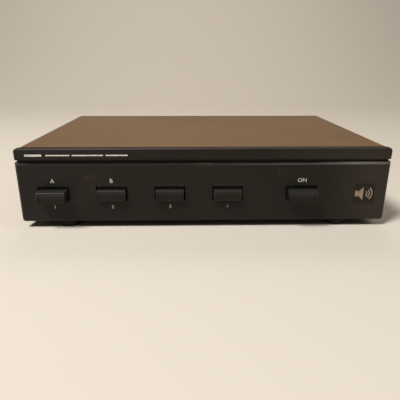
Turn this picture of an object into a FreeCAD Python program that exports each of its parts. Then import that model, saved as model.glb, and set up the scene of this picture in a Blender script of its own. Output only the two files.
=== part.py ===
import FreeCAD, Part
import Sketcher
import math
import os
import re

# A speaker selector switch: a flat steel box with a moulded fascia that holds five
# latching push buttons, and five spring clip terminal blocks on its rear panel.
# Millimetres. X runs to the right and Y to the rear seen from the front, Z is up.
# The origin is on the table, under the middle of the box round the whole part.

SIZES = {
    # Fascia, one black moulding
    "fascia_margin": 6.7,
    "fascia_height": 43.75,
    "fascia_depth": 4.4,
    "fascia_plate": 2.4,
    "fascia_rim": 2.2,
    "fascia_corner_radius": 1.8,
    "fascia_edge_radius": 1.0,
    "groove_bottom": 35.8,
    "groove_top": 37.05,
    "groove_depth": 2.0,
    "groove_end_depth": 1.0,
    "panel_slope_start": 34.35,
    "panel_slope_depth": 1.2,
    "lip_edge_radius": 0.9,
    "hollow_top": 33.2,
    # Buttons
    "button_margin": 20.15,
    "button_pitch": 33.8,
    "lone_button_margin": 50.85,
    "button_height": 16.5,
    "cap_width": 16.4,
    "cap_tall": 6.6,
    "cap_length": 11.3,
    "cap_wall": 1.2,
    "cap_front": 2.2,
    "cap_radius": 0.55,
    "scoop_radius": 7.5,
    "scoop_depth": 0.45,
    "scoop_width": 14.2,
    "cap_side_gap": 0.7,
    "cap_top_gap": 0.4,
    "bevel_tall": 2.3,
    "bevel_depth": 1.7,
    "button_out": 6.7,
    "latch_travel": 4.0,
    # Plunger, spring and switch body
    "plunger_width": 3.6,
    "plunger_tall": 2.6,
    "plunger_length": 22.0,
    "plunger_gap": 0.15,
    "socket_gap": 0.05,
    "socket_wall": 0.8,
    "socket_clear": 0.2,
    "latch_notch": 0.5,
    "latch_window_y": 5.5,
    "latch_window": 11.0,
    "track_start": 10.8,
    "track_end": 3.6,
    "track_heart": 1.1,
    "track_front_half": 0.9,
    "track_rear_half": 1.2,
    "switch_front": 14.0,
    "switch_length": 22.0,
    "switch_width": 10.0,
    "switch_tall": 11.0,
    "spring_radius": 2.9,
    "spring_wire": 0.25,
    # Steel chassis and cover
    "sheet": 1.0,
    "bend_radius": 1.4,
    "cover_start": 4.9,
    "cover_end": 143.4,
    "cover_inset": 0.93,
    "cover_drop": 0.25,
    "cover_lift": 0.5,
    "cover_gap": 0.1,
    "rear_recess": 1.0,
    "side_lip": 11.0,
    "chassis_top_gap": 0.4,
    "cutout_gap": 0.9,
    # Feet
    "foot_height": 4.2,
    "foot_radius": 5.8,
    "foot_margin": 25.95,
    "foot_front_y": 8.0,
    "foot_rear_inset": 14.0,
    # Board and its spacers
    "board_thick": 1.6,
    "board_side_gap": 5.0,
    "board_front_y": 9.0,
    "board_rear_gap": 1.2,
    "spacer_radius": 3.0,
    "spacer_inset": 4.0,
    # Screws
    "screw_shank": 1.2,
    "screw_gap": 0.05,
    "screw_clear": 0.4,
    "screw_head": 2.6,
    "screw_head_tall": 1.6,
    "screw_bite": 4.5,
    "boss_half": 2.7,
    "boss_margin": 6.05,
    "boss_low": 7.0,
    "boss_high": 28.0,
    "boss_hole_depth": 3.0,
    "cover_screw_y": 24.0,
    "cover_screw_z": 6.5,
    # Spring clip terminal blocks
    "block_space": 0.7,
    "block_wall": 0.5,
    "block_tall": 20.0,
    "block_out": 8.0,
    "block_in": 11.0,
    "block_bevel": 0.7,
    "block_seat_gap": 0.2,
    "flange_thick": 1.5,
    "flange_rim": 1.4,
    "clip_web": 0.6,
    "slot_width": 7.4,
    "slot_low": 9.3,
    "slot_high": 15.7,
    "slot_depth": 12.2,
    "lever_gap": 0.2,
    "lever_pivot_in": 2.0,
    "lever_pivot_up": 13.5,
    "lever_barrel": 1.5,
    "lever_reach": 14.5,
    "lever_thick_end": 2.1,
    "lever_tab": 2.7,
    "lever_tab_thick": 1.5,
    "lever_tab_root": 2.4,
    "lever_tab_bevel": 0.5,
    "stub_radius": 0.9,
    "stub_flat": 0.78,
    "stub_gap": 0.06,
    "stub_length": 0.5,
    "entry_width": 3.6,
    "entry_low": 2.4,
    "entry_tall": 3.8,
    "chamber_depth": 6.0,
    "chamber_width": 5.6,
    "chamber_low": 1.2,
    "chamber_tall": 7.4,
    "contact_width": 4.8,
    "contact_thick": 0.6,
    "contact_gap": 0.3,
    "contact_reach": 4.2,
    # Power resistors
    "resistor_length": 38.0,
    "resistor_size": 9.5,
    "resistor_lift": 1.5,
    "resistor_lead": 0.5,
    "resistor_lead_out": 3.0,
    "resistor_space": 6.0,
    "resistor_y": 72.0,
}

# Lengths that follow from the sizes: four clips to a block and five blocks to the
# rear panel make the width of the box, and the fascia's pieces keep to its ends.
TOTALS = {
    "clip_pitch": "slot_width + 2 * stub_length + clip_web",
    "block_width": "4 * clip_pitch + 2 * block_wall",
    "block_pitch": "block_width + 2 * flange_rim + block_space",
    "fascia_width": "5 * block_pitch + 2 * fascia_margin",
    "first_button_x": "button_margin - fascia_width / 2",
    "lone_button_x": "fascia_width / 2 - lone_button_margin",
    "boss_x": "fascia_width / 2 - boss_margin",
    "foot_x": "fascia_width / 2 - foot_margin",
    "resistor_pitch": "resistor_length + resistor_space",
}

doc = FreeCAD.newDocument("speaker_selector")
sheet = doc.addObject("Spreadsheet::Sheet", "Sizes")
cells = [(name, str(number)) for name, number in SIZES.items()]
cells += [(name, "=" + total) for name, total in TOTALS.items()]
for row, (name, content) in enumerate(cells, 1):
    sheet.set(f"A{row}", name)
    sheet.set(f"B{row}", content)
    sheet.setAlias(f"B{row}", name)
doc.recompute()

parts = {}
CLOSE = 0.01


def size(expression):
    """The expression with each size's name pointed at the sheet."""
    def point(word):
        known = word.group() in SIZES or word.group() in TOTALS
        return "Sizes." + word.group() if known else word.group()
    return re.sub(r"[a-z_]+", point, expression)


def value(expression):
    return float(sheet.evalExpression(size(expression)))


def bind(thing, **expressions):
    for name, expression in expressions.items():
        thing.setExpression(name, size(expression))


def place(thing, x="0", y="0", z="0"):
    for axis, expression in (("x", x), ("y", y), ("z", z)):
        thing.setExpression(f"Placement.Base.{axis}", size(expression))


def new_body(name):
    body = doc.addObject("PartDesign::Body", name)
    body.Label = name
    return body


def sketch(body, plane, away="0"):
    """An empty sketch on one of the body's own planes, moved along its normal.
    XY looks up, XZ looks to the front and YZ looks to the right."""
    support = next(p for p in body.Origin.OriginFeatures if p.Role == plane + "_Plane")
    drawing = body.newObject("Sketcher::SketchObject", "Outline")
    drawing.AttachmentSupport = [(support, "")]
    drawing.MapMode = "FlatFace"
    drawing.setExpression("AttachmentOffset.Base.z", size(away))
    return drawing


def outline(drawing, corners):
    """A closed outline of straight sides, with each corner bound to two sizes."""
    first = drawing.GeometryCount
    count = len(corners)
    points = [FreeCAD.Vector(value(x), value(y), 0) for x, y in corners]
    for k in range(count):
        drawing.addGeometry(Part.LineSegment(points[k], points[(k + 1) % count]), False)
    for k in range(count):
        drawing.addConstraint(Sketcher.Constraint("Coincident", first + k, 2, first + (k + 1) % count, 1))
    for k, corner in enumerate(corners):
        for kind, expression in zip(("DistanceX", "DistanceY"), corner):
            datum = Sketcher.Constraint(kind, -1, 1, first + k, 1, value(expression))
            drawing.setExpression(f"Constraints[{drawing.addConstraint(datum)}]", size(expression))


def rectangle(drawing, left, low, width, tall):
    right = f"({left}) + ({width})"
    high = f"({low}) + ({tall})"
    outline(drawing, [(left, low), (right, low), (right, high), (left, high)])


def circle(drawing, x, y, radius):
    centre = FreeCAD.Vector(value(x), value(y), 0)
    curve = drawing.addGeometry(Part.Circle(centre, FreeCAD.Vector(0, 0, 1), value(radius)), False)
    for kind, expression in (("DistanceX", x), ("DistanceY", y)):
        datum = Sketcher.Constraint(kind, -1, 1, curve, 3, value(expression))
        drawing.setExpression(f"Constraints[{drawing.addConstraint(datum)}]", size(expression))
    datum = Sketcher.Constraint("Radius", curve, value(radius))
    drawing.setExpression(f"Constraints[{drawing.addConstraint(datum)}]", size(radius))


def ring(drawing, x, y, radius, sides):
    """A regular outline of so many flats, its corners on a circle, for small hidden pieces."""
    outline(drawing, [(f"({x}) + ({radius}) * {math.cos(2 * math.pi * (k + 0.5) / sides):.6f}",
                       f"({y}) + ({radius}) * {math.sin(2 * math.pi * (k + 0.5) / sides):.6f}")
                      for k in range(sides)])


def pad(body, drawing, length, both_ways=False, reverse=False):
    """Material along the sketch's normal, or half to each side of it."""
    made = body.newObject("PartDesign::Pad", "Pad")
    made.Profile = drawing
    made.SideType = "Symmetric" if both_ways else "One side"
    made.Reversed = reverse
    bind(made, Length=length)
    return made


def pocket(body, drawing, length=None, both_ways=False, reverse=False):
    """A cut against the sketch's normal, or half to each side of it, or right through."""
    made = body.newObject("PartDesign::Pocket", "Pocket")
    made.Profile = drawing
    made.SideType = "Symmetric" if both_ways else "One side"
    made.Reversed = reverse
    if length is None:
        made.Type = "ThroughAll"
    else:
        bind(made, Length=length)
    return made


def near(first, second):
    return abs(first - second) < CLOSE


def edges_where(feature, test):
    """Names of the feature's edges for which the test of the edge itself is true."""
    doc.recompute()
    return [f"Edge{n}" for n, edge in enumerate(feature.Shape.Edges, 1) if test(edge)]


def fillet_where(body, feature, radius, test):
    names = edges_where(feature, test)
    made = body.newObject("PartDesign::Fillet", "Fillet")
    made.Base = (feature, names)
    bind(made, Radius=radius)
    return made


def bevel_where(body, feature, width, test):
    names = edges_where(feature, test)
    made = body.newObject("PartDesign::Chamfer", "Chamfer")
    made.Base = (feature, names)
    bind(made, Size=width)
    return made


def middle(edge):
    return edge.valueAt((edge.FirstParameter + edge.LastParameter) / 2)


def runs_along(edge, axis):
    """True for a straight edge parallel to the axis numbered 0, 1 or 2."""
    ends = [corner.Point for corner in edge.Vertexes]
    if len(ends) != 2:
        return False
    step = ends[1] - ends[0]
    return near(abs(step[axis]), step.Length) and step.Length > CLOSE


def keep(name, thing):
    """Hold the thing to be written out under the name."""
    parts[name] = thing


def group(name, pieces):
    """Several like solids in one sub-part."""
    bundle = doc.addObject("Part::Compound", name)
    bundle.Label = name
    bundle.Links = pieces
    keep(name, bundle)


# Places that several pieces share
REAR_FACE = "(cover_end - rear_recess)"
TOTAL_DEPTH = f"(button_out + {REAR_FACE} + lever_reach - lever_pivot_in)"
FRONT = f"(button_out - {TOTAL_DEPTH} / 2)"
COVER_HALF = "(fascia_width / 2 - cover_inset)"
CHASSIS_HALF = f"({COVER_HALF} - sheet - cover_gap)"
COVER_TOP = "(foot_height + fascia_height - cover_drop)"
BUTTON_Z = "(foot_height + button_height)"
BOARD_TOP = f"({BUTTON_Z} - switch_tall / 2)"
APERTURE_WIDTH = "(cap_width + 2 * cap_side_gap)"
APERTURE_TALL = "(cap_tall + 2 * cap_top_gap)"
BUTTON_X = [f"(first_button_x + {k} * button_pitch)" for k in range(4)] + ["lone_button_x"]
PUSHED_IN = [False, True, True, True, False]
BLOCK_X = [f"({k} * block_pitch)" for k in range(-2, 3)]
CLIP_X = [f"({k} * clip_pitch)" for k in (-1.5, -0.5, 0.5, 1.5)]


def make_fascia():
    """Local origin at the middle of the bottom edge of the front face."""
    body = new_body("fascia")
    front_view = sketch(body, "XZ")
    rectangle(front_view, "-fascia_width / 2", "0", "fascia_width", "fascia_height")
    slab = pad(body, front_view, "fascia_depth", reverse=True)
    corners = fillet_where(body, slab, "fascia_corner_radius", lambda edge: runs_along(edge, 1))
    fillet_where(body, corners, "fascia_edge_radius",
                 lambda edge: all(near(p.Point.y, 0) for p in edge.Vertexes))

    groove = sketch(body, "YZ")
    outline(groove, [("-fascia_depth", "groove_top"), ("groove_depth", "groove_top"),
                     ("groove_depth", "groove_bottom"), ("panel_slope_depth", "groove_bottom"),
                     ("0", "panel_slope_start"), ("-fascia_depth", "panel_slope_start")])
    cut = pocket(body, groove, "2 * fascia_width", both_ways=True)
    fillet_where(body, cut, "lip_edge_radius", lambda edge: (
        near(middle(edge).y, 0) and near(middle(edge).z, value("groove_top")) and runs_along(edge, 0)))

    ends = sketch(body, "XZ")
    for left in ("-fascia_width / 2 - groove_end_depth", "fascia_width / 2 - groove_end_depth"):
        rectangle(ends, left, "groove_bottom", "2 * groove_end_depth", "groove_top - groove_bottom")
    pocket(body, ends)

    hollow = sketch(body, "XZ", "-fascia_plate")
    rectangle(hollow, "fascia_rim - fascia_width / 2", "fascia_rim",
              "fascia_width - 2 * fascia_rim", "hollow_top - fascia_rim")
    pocket(body, hollow)

    bosses = sketch(body, "XZ", "-fascia_plate")
    for x in ("-boss_x", "boss_x"):
        for z in ("boss_low", "boss_high"):
            rectangle(bosses, f"{x} - boss_half", f"{z} - boss_half", "2 * boss_half", "2 * boss_half")
    pad(body, bosses, "fascia_depth - fascia_plate", reverse=True)

    rims = sketch(body, "XZ", "-fascia_plate")
    for x in BUTTON_X:
        rectangle(rims, f"{x} - {APERTURE_WIDTH} / 2 - cap_wall",
                  f"button_height - {APERTURE_TALL} / 2 - cap_wall",
                  f"{APERTURE_WIDTH} + 2 * cap_wall", f"{APERTURE_TALL} + 2 * cap_wall")
    pad(body, rims, "fascia_depth - fascia_plate", reverse=True)

    apertures = sketch(body, "XZ")
    for x in BUTTON_X:
        rectangle(apertures, f"{x} - {APERTURE_WIDTH} / 2", f"button_height - {APERTURE_TALL} / 2",
                  APERTURE_WIDTH, APERTURE_TALL)
    pocket(body, apertures)

    aperture_top = f"button_height + {APERTURE_TALL} / 2"
    for x in BUTTON_X:
        bevel = sketch(body, "YZ", x)
        outline(bevel, [("-fascia_depth", f"{aperture_top} + bevel_tall"),
                        ("0", f"{aperture_top} + bevel_tall"),
                        ("bevel_depth", aperture_top), ("bevel_depth", "button_height"),
                        ("-fascia_depth", "button_height")])
        pocket(body, bevel, APERTURE_WIDTH, both_ways=True)

    screw_holes = sketch(body, "XZ", "-fascia_depth")
    for x in ("-boss_x", "boss_x"):
        for z in ("boss_low", "boss_high"):
            ring(screw_holes, x, z, "screw_shank + screw_gap", 6)
    pocket(body, screw_holes, "boss_hole_depth", reverse=True)
    place(body, y=FRONT, z="foot_height")
    keep("fascia", body)


def make_cover():
    """Painted steel, folded down at both sides. Local origin at the middle of its front edge."""
    body = new_body("top_cover")
    low = "foot_height + cover_lift"
    end_view = sketch(body, "XZ")
    outline(end_view, [(f"-{COVER_HALF}", low), (f"-{COVER_HALF}", COVER_TOP),
                       (COVER_HALF, COVER_TOP), (COVER_HALF, low),
                       (f"{COVER_HALF} - sheet", low), (f"{COVER_HALF} - sheet", f"{COVER_TOP} - sheet"),
                       (f"sheet - {COVER_HALF}", f"{COVER_TOP} - sheet"), (f"sheet - {COVER_HALF}", low)])
    folded = pad(body, end_view, "cover_end - cover_start", reverse=True)
    top = value(COVER_TOP)
    outer = fillet_where(body, folded, "bend_radius", lambda edge: (
        runs_along(edge, 1) and near(middle(edge).z, top)))
    fillet_where(body, outer, "bend_radius - sheet", lambda edge: (
        runs_along(edge, 1) and near(middle(edge).z, top - value("sheet"))))
    side_holes = sketch(body, "YZ")
    for y in ("cover_screw_y - cover_start", "cover_end - cover_start - cover_screw_y"):
        ring(side_holes, y, "foot_height + cover_screw_z", "screw_shank + screw_clear", 6)
    pocket(body, side_holes, "2 * fascia_width", both_ways=True)
    place(body, y=f"{FRONT} + cover_start")
    keep("top_cover", body)


def make_chassis():
    """Bare steel pan: floor, front wall, rear wall and two side lips."""
    body = new_body("chassis")
    low = "foot_height"
    high = f"({COVER_TOP} - sheet - chassis_top_gap)"
    front = "fascia_depth"
    rear = REAR_FACE
    side_view = sketch(body, "YZ")
    outline(side_view, [(front, low), (rear, low), (rear, high), (f"{rear} - sheet", high),
                        (f"{rear} - sheet", f"{low} + sheet"), (f"{front} + sheet", f"{low} + sheet"),
                        (f"{front} + sheet", high), (front, high)])
    pan = pad(body, side_view, f"2 * {CHASSIS_HALF}", both_ways=True)
    fillet_where(body, pan, "bend_radius", lambda edge: (
        runs_along(edge, 0) and near(middle(edge).z, value(low)) and near(middle(edge).y, value(rear))))

    lips = sketch(body, "XY", low)
    for left in (f"-{CHASSIS_HALF}", f"{CHASSIS_HALF} - sheet"):
        rectangle(lips, left, "fascia_depth + sheet", "sheet", f"{rear} - 2 * sheet - fascia_depth")
    pad(body, lips, "side_lip")

    windows = sketch(body, "XZ", "-fascia_depth")
    for x in BUTTON_X:
        rectangle(windows, f"{x} - cap_width / 2 - cutout_gap",
                  f"{BUTTON_Z} - cap_tall / 2 - cutout_gap",
                  "cap_width + 2 * cutout_gap", "cap_tall + 2 * cutout_gap")
    for x in ("-boss_x", "boss_x"):
        for z in ("boss_low", "boss_high"):
            ring(windows, x, f"foot_height + {z}", "screw_shank + screw_clear", 6)
    pocket(body, windows, "sheet")

    rear_windows = sketch(body, "XZ", f"-({REAR_FACE} - sheet)")
    for x in BLOCK_X:
        rectangle(rear_windows, f"{x} - block_width / 2 - block_seat_gap", f"{BOARD_TOP} - block_seat_gap",
                  "block_width + 2 * block_seat_gap", "block_tall + 2 * block_seat_gap")
    pocket(body, rear_windows, "sheet")

    floor_holes = sketch(body, "XY", low)
    for x, y in SPACER_PLACES:
        ring(floor_holes, x, y, "screw_shank + screw_gap", 6)
    pocket(body, floor_holes, "sheet", reverse=True)

    lip_holes = sketch(body, "YZ")
    for y in ("cover_screw_y", "cover_end - cover_screw_y"):
        ring(lip_holes, y, "foot_height + cover_screw_z", "screw_shank + screw_gap", 12)
    pocket(body, lip_holes, "2 * fascia_width", both_ways=True)
    place(body, y=FRONT)
    keep("chassis", body)


BOARD_HALF = f"({CHASSIS_HALF} - sheet - board_side_gap)"
BOARD_REAR = f"({REAR_FACE} - sheet - board_rear_gap)"
SPACER_PLACES = [(f"{side} * ({BOARD_HALF} - spacer_inset)", y)
                 for side in (-1, 1)
                 for y in ("board_front_y + spacer_inset", f"{BOARD_REAR} - block_in - spacer_inset")]


def make_board():
    """The circuit board, drilled for its four screws and for the contacts' tails."""
    body = new_body("circuit_board")
    plan = sketch(body, "XY")
    rectangle(plan, f"-{BOARD_HALF}", "board_front_y", f"2 * {BOARD_HALF}", f"{BOARD_REAR} - board_front_y")
    pad(body, plan, "board_thick")
    holes = sketch(body, "XY")
    for x, y in SPACER_PLACES:
        ring(holes, x, y, "screw_shank + screw_clear", 6)
    pocket(body, holes, reverse=True)
    tails = sketch(body, "XY")
    for block in BLOCK_X:
        for clip in CLIP_X:
            rectangle(tails, f"{block} + {clip} - contact_width / 2 - contact_gap",
                      f"{REAR_FACE} - block_in + contact_gap",
                      "contact_width + 2 * contact_gap", "contact_thick + 2 * contact_gap")
    pocket(body, tails, reverse=True)
    place(body, y=FRONT, z=f"{BOARD_TOP} - board_thick")
    keep("circuit_board", body)


def screw(name, shank_length):
    """Screw seated at its local origin, with its shank pointing down. Few flats stand
    for its round head and its thread."""
    body = new_body(name)
    head = sketch(body, "XY")
    ring(head, "0", "0", "screw_head", 12)
    pad(body, head, "screw_head_tall")
    shank = sketch(body, "XY")
    ring(shank, "0", "0", "screw_shank", 6)
    pad(body, shank, shank_length, reverse=True)
    return body


def aim(body, direction):
    """Turn a screw so that its head points along the direction."""
    body.Placement = FreeCAD.Placement(FreeCAD.Vector(), FreeCAD.Rotation(FreeCAD.Vector(0, 0, 1), direction))


def make_spacers():
    posts = []
    for number, (x, y) in enumerate(SPACER_PLACES, 1):
        tall = f"({BOARD_TOP} - board_thick - foot_height - sheet)"
        post = new_body(f"spacer_{number}")
        section = sketch(post, "XY")
        ring(section, "0", "0", "spacer_radius", 6)
        ring(section, "0", "0", "screw_shank + screw_gap", 6)
        pad(post, section, tall)
        place(post, x, f"{FRONT} + {y}", "foot_height + sheet")
        posts.append(post)
    group("board_spacers", posts)


def make_board_screws():
    screws = []
    for number, (x, y) in enumerate(SPACER_PLACES, 1):
        made = screw(f"board_screw_{number}", "board_thick + screw_bite")
        place(made, x, f"{FRONT} + {y}", BOARD_TOP)
        screws.append(made)
    group("board_screws", screws)


def make_cover_screws():
    screws = []
    for side in (-1, 1):
        for y in ("cover_screw_y", "cover_end - cover_screw_y"):
            made = screw(f"cover_screw_{len(screws) + 1}", "screw_bite")
            aim(made, FreeCAD.Vector(side, 0, 0))
            place(made, f"{side} * {COVER_HALF}", f"{FRONT} + {y}", "foot_height + cover_screw_z")
            screws.append(made)
    group("cover_screws", screws)


def make_fascia_screws():
    """Put in from behind, through the chassis's front wall."""
    screws = []
    for x in ("-boss_x", "boss_x"):
        for z in ("boss_low", "boss_high"):
            made = screw(f"fascia_screw_{len(screws) + 1}", "sheet + boss_hole_depth - screw_clear")
            aim(made, FreeCAD.Vector(0, 1, 0))
            place(made, x, f"{FRONT} + fascia_depth + sheet", f"foot_height + {z}")
            screws.append(made)
    group("fascia_screws", screws)


def make_feet():
    """Four rubber feet, stuck under the chassis."""
    places = [("front_left", "-foot_x", "foot_front_y"), ("front_right", "foot_x", "foot_front_y"),
              ("rear_left", "-foot_x", f"{REAR_FACE} - foot_rear_inset"),
              ("rear_right", "foot_x", f"{REAR_FACE} - foot_rear_inset")]
    for name, x, y in places:
        body = new_body(f"foot_{name}")
        round_face = sketch(body, "XY")
        circle(round_face, "0", "0", "foot_radius")
        pad(body, round_face, "foot_height")
        place(body, x, f"{FRONT} + {y}")
        keep(f"foot_{name}", body)


def make_switch(number, x, pushed):
    """One push switch: its body on the board, plunger, spring and button cap."""
    shift = "latch_travel" if pushed else "0"
    cap_front_y = f"({FRONT} - button_out + {shift})"

    body = new_body(f"switch_body_{number}")
    face = sketch(body, "XZ")
    rectangle(face, "-switch_width / 2", "-switch_tall / 2", "switch_width", "switch_tall")
    pad(body, face, "switch_length", reverse=True)
    bore = sketch(body, "XZ")
    rectangle(bore, "-plunger_width / 2 - plunger_gap", "-plunger_tall / 2 - plunger_gap",
              "plunger_width + 2 * plunger_gap", "plunger_tall + 2 * plunger_gap")
    pocket(body, bore, "switch_length - cap_wall")
    window = sketch(body, "XY", "switch_tall / 2")
    rectangle(window, "-plunger_tall / 2", "latch_window_y", "plunger_tall", "latch_window")
    pocket(body, window, "switch_tall / 2 - plunger_tall / 2 - latch_notch")
    place(body, x, f"{FRONT} + switch_front", BUTTON_Z)
    keep(f"switch_body_{number}", body)

    rod = new_body(f"plunger_{number}")
    bar = sketch(rod, "XZ")
    rectangle(bar, "-plunger_width / 2", "-plunger_tall / 2", "plunger_width", "plunger_tall")
    pad(rod, bar, "plunger_length", reverse=True)
    track = sketch(rod, "XY", "plunger_tall / 2")
    outline(track, [("-track_front_half", "plunger_length - track_start"),
                    ("track_front_half", "plunger_length - track_start"),
                    ("track_rear_half", "plunger_length - track_end"),
                    ("0", "plunger_length - track_end - track_heart"),
                    ("-track_rear_half", "plunger_length - track_end")])
    pocket(rod, track, "latch_notch")
    place(rod, x, f"{cap_front_y} + cap_front + socket_gap", BUTTON_Z)
    keep(f"plunger_{number}", rod)

    cap = new_body(f"button_{number}")
    face = sketch(cap, "XZ")
    rectangle(face, "-cap_width / 2", "-cap_tall / 2", "cap_width", "cap_tall")
    block = pad(cap, face, "cap_length", reverse=True)
    fillet_where(cap, block, "cap_radius", lambda edge: all(near(p.Point.y, 0) for p in edge.Vertexes))
    scoop = sketch(cap, "YZ")
    circle(scoop, "scoop_depth - scoop_radius", "0", "scoop_radius")
    pocket(cap, scoop, "scoop_width", both_ways=True)
    hollow = sketch(cap, "XZ", "-cap_length")
    rectangle(hollow, "cap_wall - cap_width / 2", "cap_wall - cap_tall / 2",
              "cap_width - 2 * cap_wall", "cap_tall - 2 * cap_wall")
    boss_width = "(plunger_width + 2 * socket_gap + 2 * socket_wall)"
    rectangle(hollow, f"-{boss_width} / 2", "cap_wall + socket_clear - cap_tall / 2",
              boss_width, "cap_tall - 2 * cap_wall - 2 * socket_clear")
    pocket(cap, hollow, "cap_length - cap_front", reverse=True)
    socket = sketch(cap, "XZ", "-cap_length")
    rectangle(socket, "-plunger_width / 2 - socket_gap", "-plunger_tall / 2 - socket_gap",
              "plunger_width + 2 * socket_gap", "plunger_tall + 2 * socket_gap")
    pocket(cap, socket, "cap_length - cap_front", reverse=True)
    place(cap, x, cap_front_y, BUTTON_Z)
    keep(f"button_{number}", cap)

    make_spring(number, x, shift)


def make_spring(number, x, shift):
    """Return spring round the plunger, from the cap's rear to the switch body's front.
    It is hidden, and its close coils are drawn as one plain sleeve of their outer shape."""
    body = new_body(f"return_spring_{number}")
    section = sketch(body, "XZ")
    for radius in ("spring_radius + spring_wire", "spring_radius - spring_wire"):
        ring(section, "0", "0", radius, 12)
    start = f"(cap_length - button_out + {shift} + socket_gap)"
    pad(body, section, f"switch_front - socket_gap - {start}", reverse=True)
    place(body, x, f"{FRONT} + {start}", BUTTON_Z)
    keep(f"return_spring_{number}", body)


def make_housing(number, x):
    """One moulded terminal block. Local origin at the foot of the rear panel's outer face."""
    body = new_body(f"terminal_housing_{number}")
    face = sketch(body, "XZ", "block_in")
    rectangle(face, "-block_width / 2", "0", "block_width", "block_tall")
    pad(body, face, "block_in + block_out", reverse=True)
    plate = sketch(body, "XZ")
    rectangle(plate, "-block_width / 2 - flange_rim", "-flange_rim",
              "block_width + 2 * flange_rim", "block_tall + 2 * flange_rim")
    flange = pad(body, plate, "flange_thick", reverse=True)
    outer = value("block_out")
    bevel_where(body, flange, "block_bevel", lambda edge: all(near(p.Point.y, outer) for p in edge.Vertexes))

    slots = sketch(body, "XZ", "-block_out")
    channels = sketch(body, "XZ", "-block_out")
    entries = sketch(body, "XZ", "-block_out")
    chambers = sketch(body, "XZ", "block_in")
    tails = sketch(body, "XY")
    for clip in CLIP_X:
        rectangle(slots, f"{clip} - slot_width / 2", "slot_low", "slot_width", "slot_high - slot_low")
        channel_half = "(slot_width / 2 + stub_length)"
        rectangle(channels, f"{clip} - {channel_half}", "lever_pivot_up - stub_radius - stub_gap",
                  f"2 * {channel_half}", "2 * (stub_radius + stub_gap)")
        rectangle(entries, f"{clip} - entry_width / 2", "entry_low", "entry_width", "entry_tall")
        rectangle(chambers, f"{clip} - chamber_width / 2", "chamber_low", "chamber_width", "chamber_tall")
        rectangle(tails, f"{clip} - contact_width / 2 - contact_gap", "contact_gap - block_in",
                  "contact_width + 2 * contact_gap", "contact_thick + 2 * contact_gap")
    pocket(body, slots, "slot_depth", reverse=True)
    pocket(body, channels, "block_out + lever_pivot_in + stub_radius + stub_gap", reverse=True)
    pocket(body, entries, "block_out + block_in - chamber_depth", reverse=True)
    pocket(body, chambers, "chamber_depth")
    pocket(body, tails, "chamber_low", reverse=True)
    place(body, x, f"{FRONT} + {REAR_FACE}", BOARD_TOP)
    keep(f"terminal_housing_{number}", body)


def make_lever(name, x):
    """Clamp lever. Local origin on its pivot, with its tip to the rear."""
    body = new_body(name)
    pin_length = "slot_width + 2 * stub_length - 2 * lever_gap"
    pin = sketch(body, "YZ")
    circle(pin, "0", "0", "stub_radius")
    pad(body, pin, pin_length, both_ways=True)
    flats = sketch(body, "YZ")
    for half in ("2 * stub_radius", "stub_flat"):
        rectangle(flats, f"-{half}", f"-{half}", f"2 * {half}", f"2 * {half}")
    pocket(body, flats, pin_length, both_ways=True)
    side = sketch(body, "YZ")
    tip = "lever_reach"
    low = "(0 - lever_thick_end / 2)"
    top = f"({low} + lever_thick_end + lever_tab)"
    outline(side, [("0", "-lever_barrel"), (tip, low), (tip, f"{top} - lever_tab_bevel"),
                   (f"{tip} - lever_tab_bevel", top), (f"{tip} - lever_tab_thick + lever_tab_bevel / 2", top),
                   (f"{tip} - lever_tab_thick", f"{top} - lever_tab_bevel / 2"),
                   (f"{tip} - lever_tab_root", f"{low} + lever_thick_end"), ("0", "lever_barrel"),
                   ("-lever_barrel", "lever_barrel / 2"), ("-lever_barrel", "-lever_barrel / 2")])
    pad(body, side, "slot_width - 2 * lever_gap", both_ways=True)
    place(body, x, f"{FRONT} + {REAR_FACE} - lever_pivot_in", f"{BOARD_TOP} + lever_pivot_up")
    keep(name, body)


def make_contact(name, x):
    """Plated strip, hooked over at its top to hold the wire, with a tail down through the board."""
    body = new_body(name)
    side = sketch(body, "YZ")
    high = "(chamber_low + chamber_tall - contact_gap)"
    outline(side, [("0", "-board_thick"), ("0", high), ("contact_reach", high),
                   ("contact_reach", f"{high} - contact_thick"), ("contact_thick", f"{high} - contact_thick"),
                   ("contact_thick", "-board_thick")])
    pad(body, side, "contact_width", both_ways=True)
    place(body, x, f"{FRONT} + {REAR_FACE} - block_in + 2 * contact_gap", BOARD_TOP)
    return body


def make_terminals():
    contacts = []
    lever = 0
    for number, block in enumerate(BLOCK_X, 1):
        make_housing(number, block)
        for clip in CLIP_X:
            lever += 1
            make_lever(f"lever_{lever}", f"{block} + {clip}")
            contacts.append(make_contact(f"contact_{lever}", f"{block} + {clip}"))
    group("terminal_contacts", contacts)


def make_resistors():
    """Cement power resistors, carried clear of the board on their own wire leads."""
    resistors = []
    for number in range(4):
        middle_x = f"({number - 1.5} * resistor_pitch)"
        block = doc.addObject("Part::Box", f"cement_{number + 1}")
        bind(block, Length="resistor_length", Width="resistor_size", Height="resistor_size")
        place(block, f"{middle_x} - resistor_length / 2",
              f"{FRONT} + resistor_y", f"{BOARD_TOP} + resistor_lift")
        pieces = [block]
        for side in (-1, 1):
            lead = doc.addObject("Part::Prism", f"lead_{number + 1}")
            lead.Polygon = 6
            bind(lead, Circumradius="resistor_lead", Height="resistor_lift + resistor_size / 2")
            place(lead, f"{middle_x} + {side} * (resistor_length / 2 - resistor_lead_out)",
                  f"{FRONT} + resistor_y + resistor_size / 2", BOARD_TOP)
            pieces.append(lead)
        joined = doc.addObject("Part::MultiFuse", f"resistor_{number + 1}")
        joined.Shapes = pieces
        resistors.append(joined)
    group("protection_resistors", resistors)


make_fascia()
make_cover()
make_chassis()
make_board()
make_spacers()
make_board_screws()
make_cover_screws()
make_fascia_screws()
make_feet()
for number, (x, pushed) in enumerate(zip(BUTTON_X, PUSHED_IN), 1):
    make_switch(number, x, pushed)
make_terminals()
make_resistors()
doc.recompute()

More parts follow.
